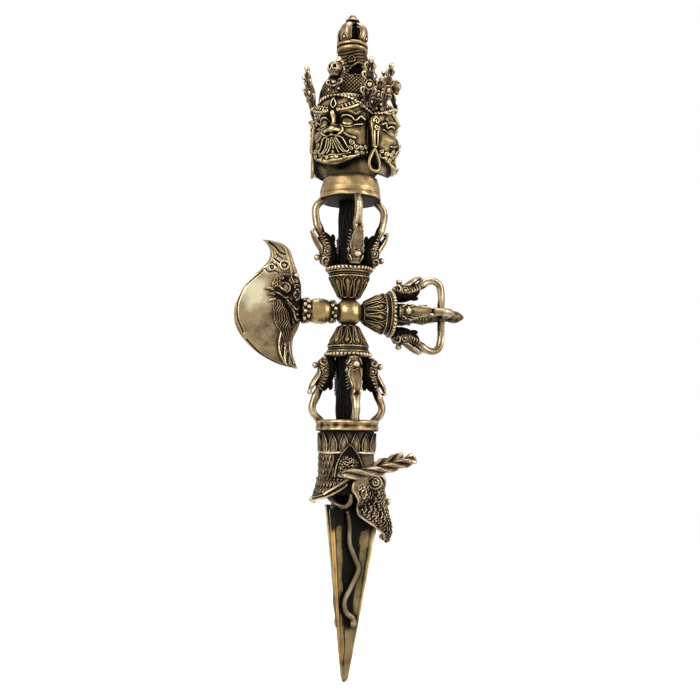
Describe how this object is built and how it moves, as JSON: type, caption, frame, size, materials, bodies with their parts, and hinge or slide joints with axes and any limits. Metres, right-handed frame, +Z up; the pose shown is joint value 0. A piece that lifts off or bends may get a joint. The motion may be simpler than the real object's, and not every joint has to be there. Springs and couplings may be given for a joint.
{
  "type": "ritual dagger",
  "caption": "Three-edged ritual dagger with a three-faced head, prong cages, an axe arm and a vajra arm, cast in brass",
  "frame": {"origin": "the tip of the blade, where the dagger is stuck into its stand or the ground", "axes": "+Z runs up the dagger from tip to finial; -X is the axe arm, +X the vajra arm; the sea-dragon's snout and one blade edge point 8 degrees off +X"},
  "size_m": [0.1245, 0.0514, 0.3508],
  "materials": {
    "bright_brass": "worn, half-polished cast brass",
    "axe_brass": "hammered and rubbed cast brass",
    "blade_brass": "filed cast brass, dull with age",
    "dark_brass": "cast brass blackened with patina",
    "face_brass": "cast brass, bright on the heights and dark in the cuts",
    "crown_brass": "cast brass with dark recesses",
    "dragon_brass": "scaled cast brass with dark recesses",
    "relief_brass": "chased cast brass with dark recesses"
  },
  "bodies": {
    "root": {"blade": "blade_brass", "naga_right": "dragon_brass", "naga_left": "dragon_brass", "naga_back": "dragon_brass", "sleeve": "dragon_brass", "leaf_ring": "dragon_brass", "snout": "dragon_brass", "lower_jaw": "dragon_brass", "ear_leaves": "dragon_brass", "horns": "dragon_brass", "mouth_loops": "dragon_brass", "lower_collar": "bright_brass", "lower_core": "dark_brass", "lower_prong_1": "relief_brass", "lower_prong_2": "relief_brass", "lower_prong_3": "relief_brass", "lower_prong_4": "relief_brass", "lower_beads": "relief_brass", "lower_lotus": "relief_brass", "hub": "bright_brass", "upper_lotus": "relief_brass", "upper_beads": "relief_brass", "upper_core": "dark_brass", "upper_prong_1": "relief_brass", "upper_prong_2": "relief_brass", "upper_prong_3": "relief_brass", "upper_prong_4": "relief_brass", "upper_collar": "bright_brass", "neck": "dark_brass", "head": "face_brass", "ears": "face_brass", "earring_1": "bright_brass", "earring_2": "bright_brass", "earring_3": "bright_brass", "crown_band": "crown_brass", "crown_leaves": "crown_brass", "crown_skulls": "crown_brass", "topknot": "dark_brass", "finial_base": "bright_brass", "finial_core": "dark_brass", "finial_ribs": "bright_brass", "finial_cap": "bright_brass", "axe_stud": "dark_brass", "axe_inner_ring": "relief_brass", "axe_barrel": "bright_brass", "axe_outer_ring": "relief_brass", "axe_blade": "axe_brass", "axe_mask": "relief_brass", "arm_lotus": "relief_brass", "arm_beads": "relief_brass", "arm_core": "relief_brass", "arm_prong_1": "relief_brass", "arm_prong_2": "relief_brass", "arm_prong_3": "relief_brass", "arm_prong_4": "relief_brass"}
  },
  "joints": []
}
